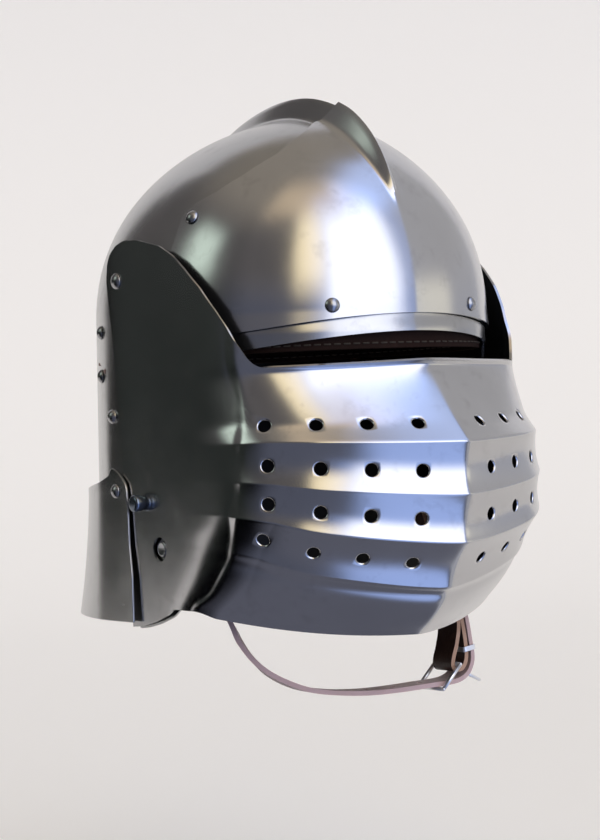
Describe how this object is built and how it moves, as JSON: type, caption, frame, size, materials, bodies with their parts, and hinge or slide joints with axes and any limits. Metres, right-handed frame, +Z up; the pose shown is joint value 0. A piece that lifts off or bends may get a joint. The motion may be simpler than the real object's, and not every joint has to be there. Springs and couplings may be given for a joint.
{
  "type": "sallet helmet",
  "caption": "Closed sallet helmet with a comb, a brow plate, a pivoting bellows visor with breathing holes, a tilting neck lame, a spring catch, a leather lining and a chin strap.",
  "frame": {"origin": "the head seat: the point on the helmet's middle plane where the crown of the head bears up against the lining's tongues and lace", "axes": "-Y to the front of the helmet, -X to the wearer's right, +Z up; X = 0 is the middle plane"},
  "size_m": [0.2348, 0.3191, 0.3601],
  "materials": {
    "plate": "satin polished",
    "visor_plate": "satin polished",
    "rivet": "worn",
    "washer": "plain",
    "spring": "blued",
    "peg": "blued",
    "buckle": "nickel plated",
    "strap_long": "pinkish brown, smooth",
    "strap_short": "dark brown, worn",
    "lining": "brown, soft",
    "lace": "plain"
  },
  "bodies": {
    "helmet": {"skull": "plate", "brow_plate": "plate", "pivot_rivets": "rivet", "pivot_washers": "washer", "brow_rivets": "rivet", "corner_rivets": "rivet", "lining_rivets": "rivet", "lining_washers": "washer", "lame_rivets": "rivet", "lame_spacers": "washer", "catch_leaf_spring": "spring", "catch_spring_rivet": "rivet", "lining_band": "lining", "lining_tongues": "lining", "crown_lace": "lace", "chin_strap_long": "strap_long", "chin_strap_short": "strap_short", "strap_rivets": "rivet", "strap_washers": "washer", "buckle_frame": "buckle", "strap_keeper": "buckle"},
    "visor": {"visor": "visor_plate", "lifting_peg": "peg"},
    "tail": {"neck_lame": "plate"},
    "catch": {"catch_stud": "rivet"},
    "prong": {"buckle_prong": "buckle"}
  },
  "joints": [
    {"name": "visor_lift", "type": "hinge", "parent": "helmet", "child": "visor", "pos_m": [0, 0.019, -0.0734], "axis": [-1, 0, 0], "range_deg": [0, 90]},
    {"name": "tail_tilt", "type": "hinge", "parent": "helmet", "child": "tail", "pos_m": [0, 0.0265, -0.1954], "axis": [1, 0, 0], "range_deg": [0, 12]},
    {"name": "catch_press", "type": "slide", "parent": "helmet", "child": "catch", "axis": [1, 0, 0], "range_m": [0, 0.004], "stiffness_N_per_m": 1500, "springref_m": -0.001, "deforming": ["catch_leaf_spring"]},
    {"name": "prong_swing", "type": "hinge", "parent": "helmet", "child": "prong", "pos_m": [0.0832, -0.03, -0.3114], "axis": [0, 1, 0], "range_deg": [-3, 3]}
  ]
}
